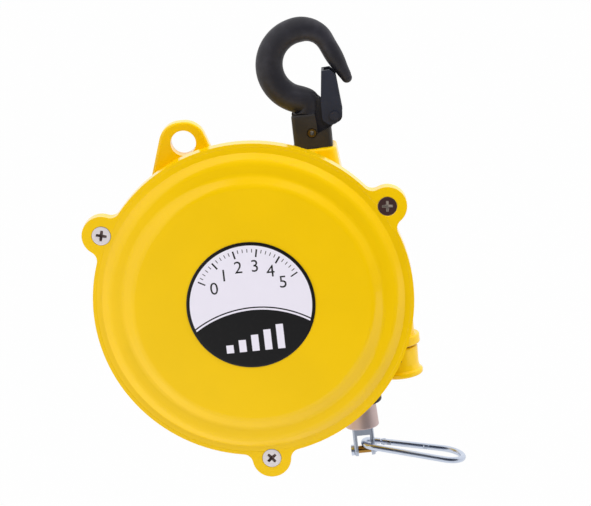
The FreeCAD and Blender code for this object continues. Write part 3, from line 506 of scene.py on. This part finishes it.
def finish(slot):
    """The material of a slot of the record, or of a piece that differs from it, made once.
    The numbers are an axis for turned metal (1 is Y, 2 is Z) and then the roughness."""
    makers = {
        "yellow_paint": yellow_paint,
        "hook_black": lambda: black_coat("hook_black", look("hook")),
        "latch_black": lambda: black_coat("latch_black", look("latch"), rough=0.42, grain=0.02,
                                          glints=1.25),
        "socket_grey": lambda: black_coat("socket_grey", look("fork"), rough=0.46, grain=0.02,
                                          glints=1.3),
        "zinc": lambda: bright_zinc("zinc", look("zinc")),
        "forged_zinc": lambda: bright_zinc("forged_zinc", scaled(look("zinc"), by=0.8), 0.34),
        "sleeve_metal": lambda: turned_metal("sleeve_metal", look("sleeve"), 2, 0.56),
        "steel": lambda: turned_metal("steel", srgb(186, 186, 188), 1, 0.3),
        "dark_steel": lambda: bright_zinc("dark_steel", srgb(84, 84, 90), 0.3),
        # painted shade: the dark recess colour of the plated screws stands for the shadow in the cross; the
        # browned screw's recess gets a lighter colour
        "screw_steel": lambda: screw_metal("screw_steel", look("screw"), srgb(100, 80, 76)),
        "screw_brown": lambda: screw_metal("screw_brown", look("dark_screw"),
                                           srgb(176, 164, 152)),
        "bronze": lambda: turned_metal("bronze", look("bronze"), 2, 0.3),
        "dull_bronze": lambda: turned_metal("dull_bronze", srgb(126, 110, 74), 1, 0.4),
        "drum_alloy": lambda: turned_metal("drum_alloy", srgb(188, 189, 193), 1, 0.36),
        "rope_steel": stranded_rope,
        "rope_wound": lambda: bright_zinc("rope_wound", srgb(150, 150, 152), 0.34),
        "black_plastic": lambda: moulded("black_plastic", srgb(18, 17, 18), 0.55),
        "buffer_rubber": lambda: moulded("buffer_rubber", srgb(22, 22, 23), 0.7),
        "label_print": label_print,
        "label_digits": lambda: moulded("label_digits", look("label_ink"), 0.5),
    }
    if slot not in FINISHES:
        FINISHES[slot] = makers[slot]()
    return FINISHES[slot]


# ------------------------------------------------------------------ meshes
def grid_mesh(name, points, closed_u=False, closed_v=False, **values):
    """Mesh over a grid of points with shape (rows, columns, 3). Poles and seams are merged,
    faces are turned outwards, and values are kept as attributes of the points. A grid that is
    closed in u or v joins its last row or column to its first."""
    rows, columns = points.shape[:2]
    u = np.arange(rows if closed_u else rows - 1)
    v = np.arange(columns if closed_v else columns - 1)
    a, b = np.meshgrid(u, v, indexing="ij")
    a2, b2 = (a + 1) % rows, (b + 1) % columns
    quads = np.stack([a * columns + b, a2 * columns + b, a2 * columns + b2, a * columns + b2], -1)
    mesh = bpy.data.meshes.new(name)
    mesh.from_pydata(points.reshape(-1, 3), [], quads.reshape(-1, 4))
    for key, value in values.items():
        layer = mesh.attributes.new(key, "FLOAT", "POINT")
        layer.data.foreach_set("value", value.reshape(-1).astype(np.float32))
    skin = bmesh.new()
    skin.from_mesh(mesh)
    bmesh.ops.remove_doubles(skin, verts=skin.verts, dist=MERGE)
    bmesh.ops.recalc_face_normals(skin, faces=skin.faces)
    skin.to_mesh(mesh)
    skin.free()
    mesh.polygons.foreach_set("use_smooth", np.ones(len(mesh.polygons), bool))
    return mesh


def row_frame(x, y, z):
    """The same as at(), for whole arrays of points."""
    return np.stack([AXIS_X + x * MM, SEAM_Y + y * MM, AXIS_Z + z * MM], -1)


def circle(steps):
    """Equal angles once round, as the second direction of a grid."""
    return np.linspace(0, 2 * np.pi, steps, endpoint=False)[None, :]


def turned(name, x, z, profile, steps):
    """Profile of (radius, y) pairs turned about an axis along Y through (x, z), from its middle
    out and back to its middle, so that it closes."""
    r, y = np.array(profile, float).T[:, :, None]
    t = circle(steps)
    return grid_mesh(name, row_frame(x + r * np.cos(t), y + 0 * t, z + r * np.sin(t)),
                     closed_v=True)


def add_piece(mesh, body, slot, replaces=(), look_name=None):
    """Object with the finish of a slot, or with another by name. It rides on a body, unless
    the body is None, and stands for the CAD nodes that it replaces."""
    piece = bpy.data.objects.new(mesh.name, mesh)
    bpy.context.scene.collection.objects.link(piece)
    mesh.materials.clear()
    mesh.materials.append(finish(look_name or slot))
    if body:
        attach(piece, body)
    if replaces:
        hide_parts(*replaces)
    return piece


# ------------------------------------------------------------------ operators
class BalancerFinishes(bpy.types.Operator):
    """Give every CAD node the finish of its slot"""
    bl_idname = "balancer.finishes"
    bl_label = "Finishes"

    def execute(self, context):
        differs = {"hook_latch": "latch_black", "latch_rivet": "latch_black",
                   "swivel_clevis": "forged_zinc", "hook_pin": "dull_bronze"}
        for part in frame["record"]["subparts"]:
            node = frame["nodes"][part["node"]]
            for spot in node.material_slots:
                spot.material = finish(differs.get(part["node"], part["material_slot"]))
        return {"FINISHED"}


class BalancerScrews(bpy.types.Operator):
    """Make the three countersunk cover screws with their cross recesses"""
    bl_idname = "balancer.screws"
    bl_label = "Cover screws"

    def execute(self, context):
        """The degrees are how far each cross is turned in its head."""
        first = self.screw("left", -14, "screw_steel")
        self.screw("right", -4, "screw_brown")
        self.screw("low", 38, "screw_steel")
        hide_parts("cover_screws")
        return {"FINISHED"}

    def screw(self, side, turn, look_name):
        """Profile of head, cone, shank and end, turned about the screw's axis. On the flat of
        the head the surface sinks by two crossed slots, each the product of a straight slope
        across it and one at its ends, and the slots get shallower away from the middle. A
        point attribute is 1 in the slots, where it gives the recess its colour, painted shade
        on the plated screws, and has a lower value in a ring at the edge of the head, which
        is painted shade in the gap round the head."""
        angle = math.radians(SCREW_ANGLES[side])
        x, z = SCREW_CIRCLE * math.cos(angle), SCREW_CIRCLE * math.sin(angle)
        head, arm = size("screw_head"), size("recess_arm")
        flat = np.linspace(0, head - FLAT_MARGIN, num=FLAT_ROWS)
        flat = np.stack([flat, np.full_like(flat, HEAD_Y)], -1)
        edge = [(head - inwards, HEAD_Y + behind) for inwards, behind in HEAD_EDGE]
        r, y = np.concatenate([flat, edge, SHANK]).T[:, :, None]
        t = circle(steps=128)
        y = y + 0 * t
        own = t - math.radians(turn)
        along, across = r * np.cos(own), r * np.sin(own)

        def slot(a, b):
            wall = (SLOT_HALF - SLOT_TAPER * np.abs(a) - np.abs(b)) / SLOT_WALL
            end = (arm - np.abs(a)) / SLOT_END
            return np.clip(wall, 0, 1) * np.clip(end, 0, 1)

        sink = np.maximum(slot(along, across), slot(across, along)) * (y == HEAD_Y)
        y = y + sink * np.clip(SLOT_DEEP - SLOT_RISE * r, SLOT_SHALLOW, None)
        # painted shade in the gap round the head: a dark ring at the head's edge
        sink = np.maximum(sink, GAP_SHADE_TONE * (r > head - GAP_SHADE_WIDTH))
        points = row_frame(x + r * np.cos(t), y, z + r * np.sin(t))
        mesh = grid_mesh("cover_screw_" + side, points, closed_v=True, sink=sink)
        return add_piece(mesh, "case", "screw_steel", look_name=look_name)


class BalancerRim(bpy.types.Operator):
    """Close the narrow groove beside the rim bead with a land of paint"""
    bl_idname = "balancer.rim"
    bl_label = "Rim"

    def execute(self, context):
        """A flat ring with a hollow corner against the slope, turned about the drum's axis. Its
        outer edge draws back beside each screw, to the near side of a circle round the head."""
        t = circle(steps=720)[0]
        outer = np.full_like(t, LAND_OUTER)
        for angle in SCREW_ANGLES.values():
            turn = t - math.radians(angle)
            reach = (size("screw_head") + SCREW_GAP) ** 2 - (SCREW_CIRCLE * np.sin(turn)) ** 2
            near = SCREW_CIRCLE * np.cos(turn) - np.sqrt(np.clip(reach, 0, None))
            outer = np.where((reach > 0) & (np.cos(turn) > 0), np.minimum(outer, near), outer)
        rows = [(r + 0 * t, y + 0 * t) for r, y in LAND_CORNER]
        rows += [(outer - inwards, y + 0 * t) for inwards, y in LAND_EDGE]
        r, y = (np.array(part) for part in zip(*rows))
        points = row_frame(r * np.cos(t), y, r * np.sin(t))
        add_piece(grid_mesh("rim_land", points, closed_u=True, closed_v=True), "case",
                  "yellow_paint")
        return {"FINISHED"}


class BalancerLabel(bpy.types.Operator):
    """Make the printed disc on the cover and the plain numbers of its scale"""
    bl_idname = "balancer.label"
    bl_label = "Label"

    def execute(self, context):
        r = size("label_radius")
        front = FACE_PLANE - LABEL_THICK
        face = [(0, front), (r * 0.5, front), (r - 1, front)]
        edge = [(r - inwards, front + behind) for inwards, behind in LABEL_EDGE]
        back = [(r, FACE_PLANE), (r - 1, FACE_PLANE), (0, FACE_PLANE)]
        disc = turned("label_disc", LABEL_X, 0, face + edge + back, steps=180)
        add_piece(disc, "case", "label_print", ["label_plate"])
        add_piece(self.numbers(front), "case", "label_print", look_name="label_digits")
        return {"FINISHED"}

    def numbers(self, front):
        """Each number is a flat text turned into a mesh, then set upright on the scale's arc."""
        whole = bmesh.new()
        count = bpy.context.scene.balancer_sizes.digits
        for k in range(count + 1):
            text = bpy.data.curves.new("number", "FONT")
            text.body = str(k)
            text.align_x = "CENTER"
            text.align_y = "CENTER"
            text.size = size("digit_height") * MM * FONT_SIZE
            text.extrude = DIGIT_RELIEF * MM
            holder = bpy.data.objects.new("number", text)
            mesh = bpy.data.meshes.new_from_object(holder)
            angle = math.pi / 2 + SCALE_SPAN / 2 - SCALE_SPAN * k / count
            spot = at(LABEL_X + DIGIT_ARC * math.cos(angle), front, DIGIT_ARC * math.sin(angle))
            mesh.transform(Matrix.Translation(spot) @ Matrix.Rotation(math.pi / 2, 4, "X"))
            whole.from_mesh(mesh)
            bpy.data.objects.remove(holder)
            bpy.data.meshes.remove(mesh)
        bmesh.ops.remove_doubles(whole, verts=whole.verts, dist=MERGE)
        mesh = bpy.data.meshes.new("label_numbers")
        whole.to_mesh(mesh)
        whole.free()
        return mesh


class BalancerRope(bpy.types.Operator):
    """Make the hanging rope and the six turns of rope on the drum"""
    bl_idname = "balancer.rope"
    bl_label = "Rope"

    def execute(self, context):
        run = add_piece(self.hanging(), None, "rope_steel", ["cable_run"])
        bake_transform(run)
        add_piece(self.wound(), "drum", "rope_steel", ["wound_cable"], "rope_wound")
        return {"FINISHED"}

    def section(self, alpha, distance):
        """Radius of the rope: a circle with one shallow wave for each strand, which turns
        once round in the lay length."""
        strands = bpy.context.scene.balancer_sizes.strands
        wave = np.abs(np.sin(strands * (alpha + 2 * np.pi * distance / size("rope_lay")) / 2))
        return size("rope_radius") * (VALLEY + RIDGE * wave)

    def hanging(self):
        """Strand section carried straight up the rope's axis and closed at both ends, where
        the radius falls to nothing."""
        z = np.linspace(RUN_END, RUN_TOP, num=160)[:, None]
        alpha = circle(steps=48)
        r = self.section(alpha, z)
        r[0], r[-1] = 0, 0
        z[0], z[-1] = z[1], z[-2]
        return grid_mesh("rope_run", row_frame(ROPE_MM + r * np.cos(alpha),
                                               LOAD_MM + r * np.sin(alpha), z + 0 * alpha),
                         closed_v=True)

    def wound(self):
        """Strand section carried round the drum, by the number of turns. In each turn the rope
        keeps to its groove, and near the turn's end it steps smoothly over to the next one."""
        turns = np.linspace(0, TURNS, num=1500)[:, None]
        part = np.clip((turns % 1 - (1 - CROSSING)) / CROSSING, 0, 1)
        groove = np.floor(turns) + part * part * (3 - 2 * part)
        groove = np.minimum(groove, LAST_GROOVE)
        middle_r, middle_y = ROPE_MM + GROOVE_RISE * groove, LOAD_MM + GROOVE_PITCH * groove
        angle = 2 * np.pi * turns
        alpha = circle(steps=24)
        r = self.section(alpha, angle * middle_r)
        r[0], r[-1] = 0, 0
        out = middle_r + r * np.cos(alpha)
        return grid_mesh("rope_wound", row_frame(out * np.cos(angle), middle_y + r * np.sin(alpha),
                                                 out * np.sin(angle)), closed_v=True)


class BalancerStage(bpy.types.Operator):
    """Set up the camera, the floor, the lights and the white surroundings"""
    bl_idname = "balancer.stage"
    bl_label = "Stage"

    def execute(self, context):
        s = context.scene.balancer_stage
        self.camera(context.scene, s)
        self.surroundings(context.scene, s)
        self.floor()
        self.lamp("key", s.key_power)
        self.lamp("fill", s.fill_power)
        context.scene.view_settings.view_transform = "Standard"
        return {"FINISHED"}

    def camera(self, scene, s):
        """The camera stands at its azimuth and elevation from the cover's middle. It looks at
        a point beside that middle, and its roll turns it about its line of sight."""
        target = at(0, 0, 0)
        back = Vector((math.sin(s.azimuth) * math.cos(s.elevation),
                       -math.cos(s.azimuth) * math.cos(s.elevation), math.sin(s.elevation)))
        level = Vector((math.cos(s.azimuth), math.sin(s.azimuth), 0))
        above = back.cross(level)
        right = level * math.cos(s.roll) - above * math.sin(s.roll)
        up = level * math.sin(s.roll) + above * math.cos(s.roll)
        place = target + back * s.distance
        aim = target + right * s.aim_right + up * s.aim_up
        z = (place - aim).normalized()
        x = (right - z * right.dot(z)).normalized()
        camera = bpy.data.objects.new("camera", bpy.data.cameras.new("camera"))
        camera.data.lens = s.lens
        camera.data.sensor_width = SENSOR_MM
        camera.data.clip_end = FAR_CLIP
        turn = Matrix((x, z.cross(x), z)).transposed().to_4x4()
        camera.matrix_world = Matrix.Translation(place) @ turn
        scene.collection.objects.link(camera)
        scene.camera = camera

    def surroundings(self, scene, s):
        """White where it is seen directly. Reflections see it white too, but dim in a wide
        cone to the upper right in front, where the studio is open. The even light on the
        object is weaker straight in front."""
        world = bpy.data.worlds.new("studio")
        world.use_nodes = True
        world.node_tree.nodes.clear()
        g = Graph(world.node_tree)
        way = g.node("ShaderNodeTexCoord").outputs["Generated"]

        def towards(*direction):
            """Cosine of the angle between the way that is looked and a direction."""
            return g.number("ShaderNodeVectorMath", {"operation": "DOT_PRODUCT"},
                            {0: way, 1: Vector(direction).normalized()}, "Value")

        path = g.node("ShaderNodeLightPath").outputs
        seen = Num(g, path["Is Camera Ray"]).math("MAXIMUM", path["Is Transmission Ray"])
        open_side = g.band(towards(0.5, -0.8, 0.3), 0.6, 0.7)
        glossy = g.blend(open_side, (1.05, 1.05, 1.05), (0.015, 0.025, 0.05))
        strength = s.sky * (1 - s.front_dim * g.band(towards(0, -1, 0), 0.5, 0.95))
        even = g.node("ShaderNodeVectorMath", {"operation": "SCALE"},
                      {0: WHITE, "Scale": strength}).outputs[0]
        unseen = g.blend(path["Is Glossy Ray"], even, glossy)
        light = g.node("ShaderNodeBackground", None, {"Color": g.blend(seen, unseen, WHITE)})
        g.node("ShaderNodeOutputWorld", None, {0: light.outputs[0]})
        scene.world = world

    def floor(self):
        """Wide flat grid of pale floor, just below the reach of the rope that is pulled right
        out. It keeps the soft shadow of the balancer."""
        low = CAD_BOX[0].z - JOINTS["cable_travel"]["range_m"][1] - FLOOR_GAP
        across, along = np.meshgrid(np.linspace(*FLOOR_X, FLOOR_LINES),
                                    np.linspace(*FLOOR_Y, FLOOR_LINES), indexing="ij")
        mesh = grid_mesh("floor", np.stack([across, along, np.full_like(across, low)], -1))
        f = Finish("floor_white", Roughness=0.8)
        f.tones(f.noise(f.place(), per_mm=0.01, detail=2), scaled(WHITE, by=0.86),
                scaled(WHITE, by=0.9))
        path = f.node("ShaderNodeLightPath").outputs
        glow = f.node("ShaderNodeEmission", None, {"Strength": 1.0})
        share = (Num(f, path["Is Camera Ray"]) + Num(f, path["Is Glossy Ray"])
                 + Num(f, path["Is Transmission Ray"])) * FLOOR_GLOW
        mix = f.node("ShaderNodeMixShader", None,
                     {0: share, 1: f.surface.outputs[0], 2: glow.outputs[0]})
        f.tree.links.new(mix.outputs[0], f.tree.nodes["Material Output"].inputs[0])
        mesh.materials.append(f.material)
        floor = bpy.data.objects.new("floor", mesh)
        bpy.context.scene.collection.objects.link(floor)

    def lamp(self, name, power):
        """Round soft lamp that faces the object and is seen neither directly nor mirrored."""
        lamp = bpy.data.lights.new(name, "AREA")
        lamp.shape = "DISK"
        lamp.size = LAMP_WIDTH
        lamp.energy = power
        holder = bpy.data.objects.new(name, lamp)
        offset = Vector(LAMPS[name])
        holder.location = (CAD_BOX[0] + CAD_BOX[1]) / 2 + offset
        holder.rotation_euler = (-offset).to_track_quat("-Z", "Y").to_euler()
        holder.visible_glossy = False
        holder.visible_camera = False
        bpy.context.scene.collection.objects.link(holder)


class BalancerPanel(bpy.types.Panel):
    """Lists the steps that dress the balancer"""
    bl_idname = "VIEW3D_PT_balancer"
    bl_label = "Spring Balancer"
    bl_space_type = "VIEW_3D"
    bl_region_type = "UI"
    bl_category = "Balancer"

    def draw(self, context):
        for operator in STEPS:
            self.layout.operator(operator.bl_idname)


STEPS = (BalancerFinishes, BalancerScrews, BalancerRim, BalancerLabel, BalancerRope,
         BalancerStage)
SETTINGS = {"balancer_look": BalancerLook, "balancer_sizes": BalancerSizes,
            "balancer_stage": BalancerStageSettings}
CLASSES = tuple(SETTINGS.values()) + STEPS + (BalancerPanel,)


def register():
    for cls in CLASSES:
        bpy.utils.register_class(cls)
    for name, group in SETTINGS.items():
        setattr(bpy.types.Scene, name, bpy.props.PointerProperty(type=group))


def unregister():
    for name in SETTINGS:
        delattr(bpy.types.Scene, name)
    for cls in reversed(CLASSES):
        bpy.utils.unregister_class(cls)


def main():
    """Makes everything."""
    register()
    for operator in STEPS:
        group, name = operator.bl_idname.split(".")
        getattr(getattr(bpy.ops, group), name)()


if __name__ == "__main__":
    main()
